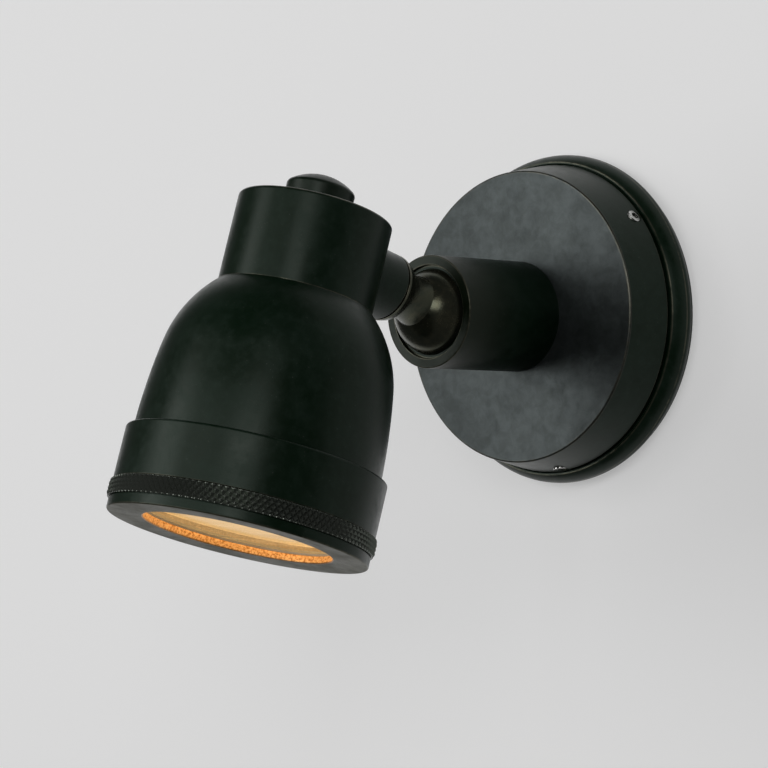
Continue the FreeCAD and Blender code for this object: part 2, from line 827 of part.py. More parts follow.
# ---------------------------------------------------------------- output
nodes = {
    "wall_plate": wall_plate,
    "cable_grommet": cable_grommet,
    "earth_washer": earth_washer,
    "earth_screw": earth_screw,
    "terminal_block": terminal_block,
    "terminal_fixing_screws": terminal_fixing_screws,
    "terminal_clamp_screws": terminal_clamp_screws,
    "canopy": canopy,
    "canopy_grub_screws": canopy_grub_screws,
    "socket_tube": socket_tube,
    "tube_washer": tube_washer,
    "tube_nut": tube_nut,
    "wire_bush": wire_bush,
    "disc_springs": disc_springs,
    "thrust_washer": thrust_washer,
    "retaining_ring": retaining_ring,
    "friction_seat": friction_seat,
    "ball_stud": ball_stud,
    "roll_stop_pin": roll_stop_pin,
    "seam_washer": seam_washer,
    "shank_washer": shank_washer,
    "shank_nut": shank_nut,
    "stem_sleeve": stem_sleeve,
    "saddle_nut": saddle_nut,
    "lamp_housing": lamp_housing,
    "top_cap": top_cap,
    "cap_stud": cap_stud,
    "stud_nut": stud_nut,
    "holder_bracket": holder_bracket,
    "holder_screws": holder_screws,
    "lampholder": lampholder,
    "lamp_body": lamp_body,
    "lamp_pins": lamp_pins,
    "lamp_capsule": lamp_capsule,
    "lamp_cover": lamp_cover,
    "inner_liner": inner_liner,
    "band_ring": band_ring,
    "bezel_ring": bezel_ring,
    "lens_gasket": lens_gasket,
    "lens_glass": lens_glass,
    "lens_clip": lens_clip,
}

os.makedirs("parts", exist_ok=True)
for name, make in nodes.items():
    shape = make()
    if not shape.isValid():
        print("not valid:", name)
    shape.exportStep("parts/" + name + ".step")
    print(name, len(shape.Solids), round(shape.Volume, 1))
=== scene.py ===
# Pivoting spotlight wall light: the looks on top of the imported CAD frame.
# Metres, Z up. The wall is the plane y = 0 and the light stands out towards -Y.
# Outlines are given in millimetres, as radius and height about a piece's own axis.
import math
import bpy
from mathutils import Matrix, Vector


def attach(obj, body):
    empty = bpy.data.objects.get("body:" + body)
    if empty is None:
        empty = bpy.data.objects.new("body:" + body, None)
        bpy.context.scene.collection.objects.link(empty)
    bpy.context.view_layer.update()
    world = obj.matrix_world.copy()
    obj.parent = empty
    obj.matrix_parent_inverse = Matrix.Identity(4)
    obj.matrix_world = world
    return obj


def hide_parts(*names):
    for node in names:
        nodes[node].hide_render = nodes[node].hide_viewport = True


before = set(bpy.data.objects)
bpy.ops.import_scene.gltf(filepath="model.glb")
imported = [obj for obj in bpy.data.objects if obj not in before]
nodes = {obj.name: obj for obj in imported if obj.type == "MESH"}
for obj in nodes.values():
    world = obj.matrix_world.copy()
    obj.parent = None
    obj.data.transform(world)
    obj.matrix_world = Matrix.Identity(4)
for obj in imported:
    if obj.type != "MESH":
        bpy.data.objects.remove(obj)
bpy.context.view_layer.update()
print("frame loaded:", len(nodes), "nodes")

mm = 0.001

# ---- places: each turned piece is drawn upright about Z and then put in its frame
pose = {
    "ballDepth": 66.5,      # ball's centre out from the wall
    "stemRaise": 15.93,     # degrees that the stem rises
    "headDistance": 64.0,   # ball's centre to the head's axis
    "headRoll": 2.49,       # degrees that the head leans about the stem
}
ballCentre = Vector((0, -pose["ballDepth"] * mm, 0))
wallTurn = Matrix.Rotation(math.radians(90), 4, "X")
raiseTurn = Matrix.Rotation(math.radians(-pose["stemRaise"]), 4, "X")
rollTurn = Matrix.Rotation(math.radians(pose["headRoll"]), 4, "Y")
headCentre = ballCentre + raiseTurn @ Vector((0, -pose["headDistance"] * mm, 0))
places = {
    "wall": wallTurn,
    "stud": Matrix.Translation(ballCentre) @ raiseTurn @ wallTurn,
    "sleeve": Matrix.Translation(ballCentre) @ raiseTurn @ rollTurn @ wallTurn,
    "head": Matrix.Translation(headCentre) @ raiseTurn @ rollTurn,
}


# ---- shader maths
class Wire:
    # a socket that can be added, multiplied and so on
    def __init__(self, finish, socket):
        self.finish = finish
        self.socket = socket

    def __add__(self, other):
        return self.finish.maths("ADD", self, other)

    def __radd__(self, other):
        return self.finish.maths("ADD", other, self)

    def __sub__(self, other):
        return self.finish.maths("SUBTRACT", self, other)

    def __rsub__(self, other):
        return self.finish.maths("SUBTRACT", other, self)

    def __mul__(self, other):
        return self.finish.maths("MULTIPLY", self, other)

    def __rmul__(self, other):
        return self.finish.maths("MULTIPLY", other, self)


class Finish:
    # a material under construction
    def __init__(self, name):
        self.material = bpy.data.materials.new(name)
        self.material.use_nodes = True
        self.tree = self.material.node_tree
        self.tree.nodes.clear()
        self.out = self.tree.nodes.new("ShaderNodeOutputMaterial")
        self.point = self.node("ShaderNodeTexCoord", {}, {}, "Object")

    def node(self, kind, settings, inputs, output=0):
        made = self.tree.nodes.new(kind)
        for name, value in settings.items():
            if name == "stops":
                ramp = made.color_ramp
                while len(ramp.elements) < len(value):
                    ramp.elements.new(0.5)
                for element, (place, colour) in zip(ramp.elements, value):
                    element.position = place
                    element.color = (*colour, 1)
            else:
                setattr(made, name, value)
        for name, value in inputs.items():
            self.feed(made.inputs[name], value)
        return Wire(self, made.outputs[output])

    def feed(self, socket, value):
        if isinstance(value, Wire):
            self.tree.links.new(value.socket, socket)
        elif socket.type == "RGBA":
            socket.default_value = (*value, 1)
        else:
            socket.default_value = value

    def maths(self, operation, first, second=0.0, third=0.0):
        return self.node(
            "ShaderNodeMath", {"operation": operation}, {0: first, 1: second, 2: third})

    def vector(self, operation, first, second, output=0):
        return self.node(
            "ShaderNodeVectorMath", {"operation": operation}, {0: first, 1: second}, output)

    def step(self, value, low, high):
        # 0 below low and 1 above high, also with low and high the other way round
        settings = {"interpolation_type": "SMOOTHSTEP", "clamp": True}
        if low > high:
            return 1 - self.node("ShaderNodeMapRange", settings, {0: value, 1: high, 2: low})
        return self.node("ShaderNodeMapRange", settings, {0: value, 1: low, 2: high})

    def noise(self, vector, scale, detail=3.0, roughness=0.5, distortion=0.0):
        return self.node("ShaderNodeTexNoise", {}, {
            "Vector": vector, "Scale": scale, "Detail": detail,
            "Roughness": roughness, "Distortion": distortion})

    def colour(self, factor, first, second):
        return self.node(
            "ShaderNodeMix", {"data_type": "RGBA"}, {0: factor, 6: first, 7: second}, 2)

    def larger(self, first, second):
        return self.maths("MAXIMUM", first, second)

    def turned(self, place):
        # radius and height in millimetres and angle about a frame's axis
        spot = places[place]
        up = spot.to_3x3() @ Vector((0, 0, 1))
        side = spot.to_3x3() @ Vector((1, 0, 0))
        front = spot.to_3x3() @ Vector((0, 1, 0))
        fromAxis = self.vector("SUBTRACT", self.point, tuple(spot.translation))
        height = self.vector("DOT_PRODUCT", fromAxis, tuple(up), 1)
        across = self.vector("DOT_PRODUCT", fromAxis, tuple(side), 1)
        along = self.vector("DOT_PRODUCT", fromAxis, tuple(front), 1)
        angle = self.maths("ARCTAN2", along, across)
        radius = self.maths("SQRT", across * across + along * along)
        return radius * 1000, height * 1000, angle

    def joined(self, first, second, third):
        return self.node("ShaderNodeCombineXYZ", {}, {0: first, 1: second, 2: third})

    def bump(self, height, distance, strength=1.0):
        return self.node("ShaderNodeBump", {}, {
            "Height": height, "Distance": distance, "Strength": strength})

    def principled(self, constants, varying):
        shader = self.node("ShaderNodeBsdfPrincipled", {}, {**constants, **varying})
        self.tree.links.new(shader.socket, self.out.inputs[0])
        return self.material


# ---- finishes
bronzeLook = {
    "dark": (0.0012, 0.0115, 0.0030),
    "patina": (0.0085, 0.0225, 0.0125),
    "bright": (0.150, 0.140, 0.105),
    "roughness": 0.30,
    "metallic": 0.25,
    "refraction": 1.36,
    "cloud": 55.0,      # patches per metre
    "mottle": 320.0,
    "specks": 900.0,
}


def bronze(name, place, edges, dark=None, patina=None, roughness=None, metallic=None,
           mottled=1.0, extra=None):
    # dark oiled bronze; each edge is a ring (radius, height, width) that wear has brightened,
    # and extra is a function that changes the finish on part of the piece
    look = bronzeLook
    finish = Finish(name)
    radius, height, angle = finish.turned(place)
    cloud = finish.noise(finish.point, look["cloud"], 4.0, 0.6, 0.4)
    mottle = finish.noise(finish.point, look["mottle"], 5.0, 0.65)
    patches = finish.step(cloud, 0.38, 0.66) * 0.55 + finish.step(mottle, 0.42, 0.68) * 0.45
    marks = finish.noise(
        finish.joined(angle * 1.6, radius * 5.5, height * 5.5), 1.0, 4.0, 0.6)
    grain = finish.noise(finish.point, 2600.0, 2.0, 0.5)
    dust = finish.node(
        "ShaderNodeTexVoronoi", {"feature": "F1"},
        {"Vector": finish.point, "Scale": look["specks"], "Randomness": 1.0}, "Distance")
    speck = finish.step(dust, 0.17, 0.08) * finish.step(mottle, 0.50, 0.64)
    wear = finish.maths("ADD", 0.0, 0.0)
    for edgeRadius, edgeHeight, width in edges:
        across = radius - edgeRadius
        along = height - edgeHeight
        reach = finish.maths("SQRT", across * across + along * along)
        wear = finish.larger(wear, finish.step(reach, width, width * 0.25))
    worn = wear * finish.step(mottle * 0.6 + cloud * 0.4, 0.34, 0.60)
    base = finish.colour(patches * mottled, dark or look["dark"], patina or look["patina"])
    metal = (metallic or look["metallic"]) + worn * 0.5
    glow = (0.0, 0.0, 0.0)
    if extra:
        base, patches, metal, glow = extra(finish, base, patches, metal, radius, height)
    base = finish.colour(speck * 0.5, base, (0.085, 0.085, 0.075))
    base = finish.colour(worn * 0.55, base, look["bright"])
    rough = (roughness or look["roughness"]) + patches * 0.15 + speck * 0.2 \
        + (marks - 0.5) * 0.10 - worn * 0.08
    relief = marks * 0.5 + grain * 0.35 + mottle * 0.3
    return finish.principled(
        {"IOR": look["refraction"], "Emission Strength": 1.0},
        {"Base Color": base, "Metallic": metal, "Roughness": rough, "Emission Color": glow,
         "Normal": finish.bump(relief, 0.00004, 0.55)})


def plainMetal(name, colour, roughness, brushed="head", glow=None):
    # machined or rolled metal with turning marks and handling smudges; a glow colour, where given, makes the
    # surface glow as painted lamp light
    finish = Finish(name)
    radius, height, angle = finish.turned(brushed)
    smudge = finish.noise(finish.point, 180.0, 4.0, 0.6)
    marks = finish.noise(
        finish.joined(angle * 2.0, radius * 8.0, height * 8.0), 1.0, 4.0, 0.6)
    darker = tuple(part * 0.62 for part in colour)
    base = finish.colour(finish.step(smudge, 0.35, 0.7), colour, darker)
    rough = roughness + (smudge - 0.5) * 0.2 + (marks - 0.5) * 0.15
    lit = {"Emission Color": finish.colour(smudge, glow, darker)} if glow else {}
    return finish.principled(
        {"Emission Strength": 1.0 if glow else 0.0},
        {"Base Color": base, "Metallic": 1.0, "Roughness": rough,
         "Normal": finish.bump(marks, 0.00003, 0.5), **lit})


def moulded(name, colour, roughness, pitted=900.0):
    # plastic, rubber or fired clay with a fine moulded skin
    finish = Finish(name)
    skin = finish.noise(finish.point, pitted, 3.0, 0.6)
    stain = finish.noise(finish.point, 90.0, 4.0, 0.6)
    darker = tuple(part * 0.7 for part in colour)
    base = finish.colour(finish.step(stain, 0.4, 0.75) * 0.6, colour, darker)
    return finish.principled(
        {}, {"Base Color": base, "Roughness": roughness + (skin - 0.5) * 0.2,
             "Normal": finish.bump(skin, 0.00006, 0.6)})


def canopyScratchesAndPaintedSheen(finish, base, patches, metal, radius, height):
    # the flat front has more metal, so it mirrors more than the sides, a paler mottled colour that is a
    # painted reflection of the light beside it, and a few scratches
    front = finish.step(height, 25.9, 26.6)
    fog = finish.noise(finish.point, 210.0, 6.0, 0.68, 0.4)
    # painted reflection: the front's paler colour
    pale = finish.colour(finish.step(fog, 0.30, 0.72), (0.040, 0.047, 0.046), (0.062, 0.072, 0.072))
    turnedPoint = finish.node(
        "ShaderNodeMapping", {}, {"Vector": finish.point, "Rotation": (0, math.radians(38), 0),
                                  "Scale": (40.0, 1.0, 900.0)})
    scratch = finish.step(finish.noise(turnedPoint, 1.0, 2.0, 0.5), 0.70, 0.76) \
        * finish.step(finish.noise(finish.point, 70.0, 1.0, 0.5), 0.52, 0.62)
    pale = finish.colour(scratch * 0.6, pale, (0.16, 0.15, 0.13))
    return (finish.colour(front, base, pale), patches * 0.6 + front * fog * 0.3,
            metal + front * 0.45, (0.0, 0.0, 0.0))


def tubePaintedMouthReflection(finish, base, patches, metal, radius, height):
    # browner and lighter towards the mouth: a painted reflection of the pale wall
    mouth = finish.step(height, 40.0, 70.0)
    return finish.colour(mouth * 0.5, base, (0.011, 0.014, 0.005)), patches, metal, (0.0, 0.0, 0.0)


def bezelToneAndPaintedBoreGlow(finish, base, patches, metal, radius, height):
    # the bezel's bottom face is rubbed, the knurl is brighter and more metallic, and the bore is gold with an
    # orange glow, both painted lamp light
    bottom = finish.step(height, -94.95, -95.25) * finish.step(radius, 42.05, 41.8)
    base = finish.colour(bottom * 0.9, base, (0.050, 0.050, 0.010))
    knurl = finish.step(radius, 42.20, 42.32) * finish.step(height, -92.3, -92.0)
    base = finish.colour(knurl * 0.9, base, (0.125, 0.138, 0.120))
    # painted lamp light: the bore's gold colour and the glow on its lower part, though the bezel is no lamp
    bore = finish.step(radius, 31.0, 30.75)
    glint = finish.noise(finish.point, 1400.0, 3.0, 0.7)
    low = finish.step(height, -95.3, -94.7)
    paintedLampGold = finish.colour(finish.step(glint, 0.35, 0.62), (0.34, 0.12, 0.020), (0.78, 0.40, 0.14))
    glow = finish.colour(bore * low, (0.0, 0.0, 0.0), finish.colour(
        finish.step(glint, 0.30, 0.66), (0.20, 0.060, 0.006), (0.50, 0.25, 0.075)))
    return (finish.colour(bore, base, paintedLampGold), patches * (1 - knurl) + bottom * 0.6 - knurl * 0.3,
            metal + bore * 0.3 + knurl * 0.6, glow)


finishes = {
    "wallPlate": bronze("wallPlateBronze", "wall", [(56.9, 5.3, 0.5), (54.4, 10.0, 0.5)]),
    "canopy": bronze("canopyBronze", "wall", [(49.9, 26.6, 0.7), (53.2, 10.9, 0.5)],
                     extra=canopyScratchesAndPaintedSheen),
    "tube": bronze("tubeBronze", "wall", [(18.8, 71.3, 0.5), (15.7, 71.3, 0.4)],
                   extra=tubePaintedMouthReflection),
    "retainer": bronze("retainerBronze", "wall", [(15.4, 70.2, 0.4)]),
    "ball": bronze("ballBronze", "stud", [(11.2, 26.5, 0.5), (11.0, 23.4, 0.4)],
                   dark=(0.045, 0.052, 0.038), patina=(0.110, 0.105, 0.068),
                   roughness=0.15, metallic=0.80, mottled=0.8),
    "stem": bronze("stemBronze", "sleeve", [(11.25, 27.4, 0.3)], roughness=0.28),
    "housing": bronze("housingBronze", "head", [(24.9, 12.9, 0.6), (25.2, -16.4, 0.3)]),
    "cap": bronze("capBronze", "head", [(11.0, 13.4, 0.4), (10.6, 23.0, 0.8)],
                  patina=(0.018, 0.026, 0.018)),
    "band": bronze("bandBronze", "head", [(42.1, -86.25, 0.3)]),
    "bezel": bronze("bezelBronze", "head", [
        (41.95, -95.6, 0.55), (30.65, -95.25, 0.4), (43.0, -87.0, 0.4), (43.0, -91.4, 0.4)],
        extra=bezelToneAndPaintedBoreGlow),
    "steel": plainMetal("brightSteel", (0.74, 0.74, 0.72), 0.20, "wall"),
    "zinc": plainMetal("zincPlate", (0.50, 0.51, 0.50), 0.33, "wall"),
    "spring": plainMetal("springSteel", (0.36, 0.35, 0.33), 0.28, "head"),
    "brass": plainMetal("turnedBrass", (0.72, 0.50, 0.20), 0.27, "wall"),
    # painted lamp light: the liner glows though it is no lamp
    "liner": plainMetal("goldLiner", (0.80, 0.52, 0.22), 0.30, "head", (1.0, 0.66, 0.30)),
    "lampShell": plainMetal("lampShellMetal", (0.66, 0.66, 0.68), 0.30, "head"),
    "rubber": moulded("blackRubber", (0.012, 0.012, 0.012), 0.55),
    "blackPlastic": moulded("blackPlastic", (0.018, 0.018, 0.020), 0.42),
    "whitePlastic": moulded("whitePlastic", (0.72, 0.71, 0.67), 0.40),
    "ceramic": moulded("lampholderCeramic", (0.78, 0.75, 0.68), 0.32, 500.0),
    "silicone": moulded("lensSilicone", (0.45, 0.44, 0.41), 0.50),
}


def clearLens():
    # clear glass with fine drawn streaks; it glows warm, brighter along the streaks, as painted lamp light
    finish = Finish("clearLens")
    film = finish.noise(finish.point, 140.0, 4.0, 0.6)
    drawn = finish.node("ShaderNodeMapping", {}, {
        "Vector": finish.point, "Rotation": (0, 0, math.radians(-44)), "Scale": (14.0, 760.0, 14.0)})
    streak = finish.step(finish.noise(drawn, 1.0, 4.0, 0.65), 0.25, 0.80)
    fresnel = finish.node("ShaderNodeFresnel", {}, {"IOR": 1.13})
    # painted lamp light: the lens glows though it is no lamp
    glow = finish.colour(streak, (0.40, 0.24, 0.085), (0.74, 0.50, 0.22))
    return finish.principled(
        {"IOR": 1.4, "Emission Strength": 0.9},
        {"Base Color": (0.60, 0.48, 0.30), "Emission Color": glow,
         "Roughness": 0.05 + film * 0.06, "Alpha": 0.12 + streak * 0.10 + fresnel * 0.8})


def warmLamp():
    # moulded front of the lamp, lit from behind
    finish = Finish("litLampFront")
    radius = finish.turned("head")[0]
    glow = finish.step(radius, 26.0, 4.0)
    sparkle = finish.noise(finish.point, 420.0, 3.0, 0.6)
    warm = finish.colour(glow, (0.95, 0.48, 0.15), (1.0, 0.80, 0.48))
    warm = finish.colour(finish.step(sparkle, 0.4, 0.7) * 0.35, warm, (1.0, 0.88, 0.62))
    return finish.principled(
        {"Emission Strength": 1.6, "IOR": 1.5},
        {"Base Color": (0.75, 0.68, 0.55), "Emission Color": warm,
         "Roughness": 0.16 + sparkle * 0.1})


finishes["lens"] = clearLens()
finishes["lampFront"] = warmLamp()
finishes["capsule"] = moulded("lampCapsule", (0.85, 0.75, 0.50), 0.20)
print("finishes made:", len(finishes))


# ---- turned meshes
def cornerArc(before, corner, after, radius):
    toBefore = (before - corner).normalized()
    toAfter = (after - corner).normalized()
    half = toBefore.angle(toAfter) / 2
    reach = radius / math.tan(half)
    centre = corner + (toBefore + toAfter).normalized() * (radius / math.sin(half))
    return corner + toBefore * reach, corner + toAfter * reach, centre


def arcPoints(start, end, centre, degrees):
    # points after start on the shorter arc about centre, the last one at end
    first = math.atan2(start.y - centre.y, start.x - centre.x)
    turn = math.atan2(end.y - centre.y, end.x - centre.x) - first
    turn = (turn + math.pi) % (2 * math.pi) - math.pi
    radius = (start - centre).length
    steps = max(3, math.ceil(abs(turn) / math.radians(degrees)), math.ceil(abs(turn) * radius / 2.5))
    return [centre + Vector((math.cos(first + turn * i / steps), math.sin(first + turn * i / steps)))
            * radius for i in range(1, steps + 1)]


def outlinePoints(outline, degrees=12):
    # (r, h) is a sharp corner, (r, h, radius) a rounded one and (r, h, centre r, centre h)
    # ends an arc that starts at the point before; straight runs get points near their ends
    steps = []
    for i, item in enumerate(outline):
        corner = Vector(item[:2])
        if len(item) == 3:
            before = Vector(outline[i - 1][:2])
            after = Vector(outline[(i + 1) % len(outline)][:2])
            start, end, centre = cornerArc(before, corner, after, item[2])
            steps += [(start, None), (end, centre)]
        elif len(item) == 4:
            steps.append((corner, Vector(item[2:])))
        else:
            steps.append((corner, None))
    points = []
    start = steps[-1][0]
    for end, centre in steps:
        if centre is not None:
            points += arcPoints(start, end, centre, degrees)
        else:
            length = (end - start).length
            if length < 1e-6:
                continue
            nearEnds = [0.15, 0.6] if length > 2.0 else []
            inner = max(1, math.ceil((length - 1.2) / 6.0)) if nearEnds else 0
            middle = [0.6 + (length - 1.2) * k / inner for k in range(1, inner)] if inner else []
            for reach in [*nearEnds, *middle, *[length - p for p in reversed(nearEnds)], length]:
                points.append(start.lerp(end, reach / length))
        start = end
    return points


def turnedMesh(name, outline, segments=256, degrees=12, split=None):
    # a closed solid of revolution about Z, in metres; split says how a cell is cut in two
    points = outline if isinstance(outline[0], Vector) else outlinePoints(outline, degrees)
    area = sum(a.x * b.y - b.x * a.y for a, b in zip(points, points[1:] + points[:1]))
    if area < 0:
        points = points[::-1]
    vertices = []
    rings = []
    for point in points:
        if point.x < 1e-6:
            rings.append([len(vertices)] * segments)
            vertices.append((0, 0, point.y * mm))
        else:
            rings.append(list(range(len(vertices), len(vertices) + segments)))
            for i in range(segments):
                angle = 2 * math.pi * i / segments
                vertices.append((point.x * mm * math.cos(angle), point.x * mm * math.sin(angle),
                                 point.y * mm))
    faces = []
    for row, (low, high) in enumerate(zip(rings, rings[1:] + rings[:1])):
        if low[0] == low[1] and high[0] == high[1]:
            continue
        for i in range(segments):
            j = (i + 1) % segments
            cut = split(row, i) if split else None
            if cut == "rising":
                faces += [[low[i], low[j], high[j]], [low[i], high[j], high[i]]]
            elif cut == "falling":
                faces += [[low[i], low[j], high[i]], [low[j], high[j], high[i]]]
            else:
                faces.append(list(dict.fromkeys([low[i], low[j], high[j], high[i]])))
    mesh = bpy.data.meshes.new(name)
    mesh.from_pydata(vertices, [], faces)
    mesh.validate()
    return mesh


def asObject(name, mesh):
    piece = bpy.data.objects.new(name, mesh)
    bpy.context.scene.collection.objects.link(piece)
    return piece


def frozen(piece):
    # the evaluated mesh in place of the modifiers
    bpy.context.view_layer.update()
    graph = bpy.context.evaluated_depsgraph_get()
    mesh = bpy.data.meshes.new_from_object(piece.evaluated_get(graph))
    piece.modifiers.clear()
    piece.data = mesh
    return piece


def carved(piece, cutters):
    # cutters are meshes taken out of the piece
    for mesh in cutters:
        tool = asObject(piece.name + "Cutter", mesh)
        cut = piece.modifiers.new("cut", "BOOLEAN")
        cut.operation = "DIFFERENCE"
        cut.solver = "EXACT"
        cut.object = tool
        frozen(piece)
        bpy.data.objects.remove(tool)
    return piece


def prism(corners, low, high):
    # an upright prism in metres from corners in millimetres, anticlockwise
    count = len(corners)
    vertices = [(x * mm, y * mm, z * mm) for z in (low, high) for x, y in corners]
    faces = [list(range(count))[::-1], list(range(count, 2 * count))]
    for i in range(count):
        j = (i + 1) % count
        faces.append([i, j, count + j, count + i])
    mesh = bpy.data.meshes.new("prism")
    mesh.from_pydata(vertices, [], faces)
    return mesh


def finished(piece, place, finish, body, stands, crease=32):
    # puts a piece into its frame, gives it its finish and hangs it on its body
    piece.data.transform(places[place])
    piece.data.materials.clear()
    piece.data.materials.append(finishes[finish])
    piece.data.shade_smooth()
    piece.data.set_sharp_from_angle(angle=math.radians(crease))
    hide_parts(stands)
    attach(piece, body)
    return piece


# ---- geometry node trees
class Tree:
    # a node group under construction, with named inputs for its sizes
    def __init__(self, name, inputs):
        self.group = bpy.data.node_groups.new(name, "GeometryNodeTree")
        face = self.group.interface
        face.new_socket("Geometry", in_out="INPUT", socket_type="NodeSocketGeometry")
        self.sockets = {}
        for label, kind in inputs.items():
            socket = face.new_socket(label, in_out="INPUT", socket_type="NodeSocket" + kind)
            self.sockets[label] = socket.identifier
        face.new_socket("Geometry", in_out="OUTPUT", socket_type="NodeSocketGeometry")
        self.entry = self.group.nodes.new("NodeGroupInput")
        self.exit = self.group.nodes.new("NodeGroupOutput")

    def given(self, label):
        return self.entry.outputs[label]

    def node(self, kind, settings, inputs, output=0):
        made = self.group.nodes.new(kind)
        for name, value in settings.items():
            setattr(made, name, value)
        for name, value in inputs.items():
            if isinstance(value, bpy.types.NodeSocket):
                self.group.links.new(value, made.inputs[name])
            else:
                made.inputs[name].default_value = value
        return made.outputs[output]

    def maths(self, operation, first, second=0.0, third=0.0):
        return self.node("ShaderNodeMath", {"operation": operation}, {0: first, 1: second, 2: third})

    def end(self, geometry):
        real = self.node("GeometryNodeRealizeInstances", {}, {"Geometry": geometry})
        dressed = self.node("GeometryNodeSetMaterial", {}, {
            "Geometry": real, "Material": self.given("Material")})
        self.group.links.new(dressed, self.exit.inputs[0])

    def use(self, piece, values):
        modifier = piece.modifiers.new(self.group.name, "NODES")
        modifier.node_group = self.group
        for label, value in values.items():
            modifier[self.sockets[label]] = value
        return frozen(piece)


def knurlTree():
    # raises pyramids on a turned ring between two heights; both ends are cut by a cone
    tree = Tree("knurl", {
        "Around": "Float", "Pitch": "Float", "Low": "Float", "High": "Float", "Root": "Float",
        "Rise": "Float", "Flat": "Float", "Low Cut": "Float", "High Cut": "Float",
        "Material": "Material"})
    position = tree.node("GeometryNodeInputPosition", {}, {})
    split = tree.node("ShaderNodeSeparateXYZ", {}, {0: position}).node
    x, y, z = split.outputs
    angle = tree.maths("DIVIDE", tree.maths("ARCTAN2", y, x), 2 * math.pi)
    across = tree.maths("MULTIPLY", angle, tree.given("Around"))
    aboveLow = tree.maths("SUBTRACT", z, tree.given("Low"))
    belowHigh = tree.maths("SUBTRACT", tree.given("High"), z)
    up = tree.maths("DIVIDE", aboveLow, tree.given("Pitch"))
    heights = []
    for operation in ("ADD", "SUBTRACT"):
        cell = tree.maths("FRACT", tree.maths(operation, across, up))
        heights.append(tree.maths("SUBTRACT", 1.0, tree.maths(
            "MULTIPLY", 2.0, tree.maths("ABSOLUTE", tree.maths("SUBTRACT", cell, 0.5)))))
    pyramid = tree.maths("MINIMUM", heights[0], heights[1])
    pyramid = tree.maths("MINIMUM", pyramid, tree.given("Flat"))
    pyramid = tree.maths("DIVIDE", pyramid, tree.given("Flat"))
    rise = tree.maths("MULTIPLY", pyramid, tree.given("Rise"))
    for reach, cut in ((aboveLow, "Low Cut"), (belowHigh, "High Cut")):
        cone = tree.maths("ADD", reach, tree.maths("SUBTRACT", tree.given("Rise"), tree.given(cut)))
        rise = tree.maths("MINIMUM", rise, cone)
    radius = tree.maths("SQRT", tree.maths(
        "ADD", tree.maths("MULTIPLY", x, x), tree.maths("MULTIPLY", y, y)))
    grow = tree.maths("DIVIDE", tree.maths("MAXIMUM", rise, 0.0), radius)
    offset = tree.node("ShaderNodeCombineXYZ", {}, {
        0: tree.maths("MULTIPLY", x, grow), 1: tree.maths("MULTIPLY", y, grow), 2: 0.0})
    inside = tree.maths("MINIMUM", aboveLow, belowHigh)
    onBand = tree.node("FunctionNodeBooleanMath", {"operation": "AND"}, {
        0: tree.maths("GREATER_THAN", inside, -0.000002),
        1: tree.maths("COMPARE", radius, tree.given("Root"), 0.00003)})
    moved = tree.node("GeometryNodeSetPosition", {}, {
        "Geometry": tree.given("Geometry"), "Selection": onBand, "Offset": offset})
    tree.end(moved)
    return tree


def ringTree():
    # copies of a piece about an axis, a fixed step apart
    tree = Tree("ringOfScrews", {
        "Count": "Int", "Start": "Float", "Step": "Float", "Material": "Material"})
    points = tree.node("GeometryNodePoints", {}, {"Count": tree.given("Count")})
    index = tree.node("GeometryNodeInputIndex", {}, {})
    turn = tree.maths("ADD", tree.given("Start"), tree.maths("MULTIPLY", index, tree.given("Step")))
    rotation = tree.node("ShaderNodeCombineXYZ", {}, {0: 0.0, 1: 0.0, 2: turn})
    placed = tree.node("GeometryNodeInstanceOnPoints", {}, {
        "Points": points, "Instance": tree.given("Geometry"), "Rotation": rotation})
    tree.end(placed)
    return tree


def pillowTree():
    # small pillow lenses in rings on the flat front of a disc
    tree = Tree("pillowLenses", {
        "Front": "Float", "Pitch": "Float", "Reach": "Float", "Rise": "Float",
        "Material": "Material"})
    position = tree.node("GeometryNodeInputPosition", {}, {})
    split = tree.node("ShaderNodeSeparateXYZ", {}, {0: position}).node
    x, y, z = split.outputs
    radius = tree.maths("SQRT", tree.maths(
        "ADD", tree.maths("MULTIPLY", x, x), tree.maths("MULTIPLY", y, y)))
    row = tree.maths("DIVIDE", radius, tree.given("Pitch"))
    ring = tree.maths("FLOOR", row)
    count = tree.maths("MAXIMUM", 1.0, tree.maths("MULTIPLY", ring, 6.0))
    angle = tree.maths("DIVIDE", tree.maths("ARCTAN2", y, x), 2 * math.pi)
    cell = tree.maths("FRACT", tree.maths("MULTIPLY", angle, count))
    waves = []
    for part in (tree.maths("FRACT", row), cell):
        centred = tree.maths("SUBTRACT", tree.maths("MULTIPLY", part, 2.0), 1.0)
        waves.append(tree.maths("SUBTRACT", 1.0, tree.maths("MULTIPLY", centred, centred)))
    pillow = tree.maths("MULTIPLY", waves[0], waves[1])
    drop = tree.maths("MULTIPLY", pillow, tree.maths("MULTIPLY", tree.given("Rise"), -1.0))
    offset = tree.node("ShaderNodeCombineXYZ", {}, {0: 0.0, 1: 0.0, 2: drop})
    onFront = tree.node("FunctionNodeBooleanMath", {"operation": "AND"}, {
        0: tree.maths("COMPARE", z, tree.given("Front"), 0.00005),
        1: tree.maths("LESS_THAN", radius, tree.given("Reach"))})
    moved = tree.node("GeometryNodeSetPosition", {}, {
        "Geometry": tree.given("Geometry"), "Selection": onFront, "Offset": offset})
    tree.end(moved)
    return tree


# ---- wall side
canopySize = {
    "rearRadius": 53.3, "frontRadius": 50.1, "rear": 10.7, "front": 26.8,
    "bore": 49.1, "wall": 3.3, "middle": 12.1, "screwDepth": 13.6,
    "screwAngles": (51.3, 171.3, 291.3), "holeRadius": 2.55,
}


def acrossCanopy(angle):
    # Z becomes the radius at the screws' depth, the angle runs from the top
    lift = Matrix.Translation((0, 0, canopySize["screwDepth"] * mm))
    turn = Matrix.Rotation(math.radians(90 - angle), 4, "Z")
    return lift @ turn @ Matrix.Rotation(math.radians(90), 4, "Y")


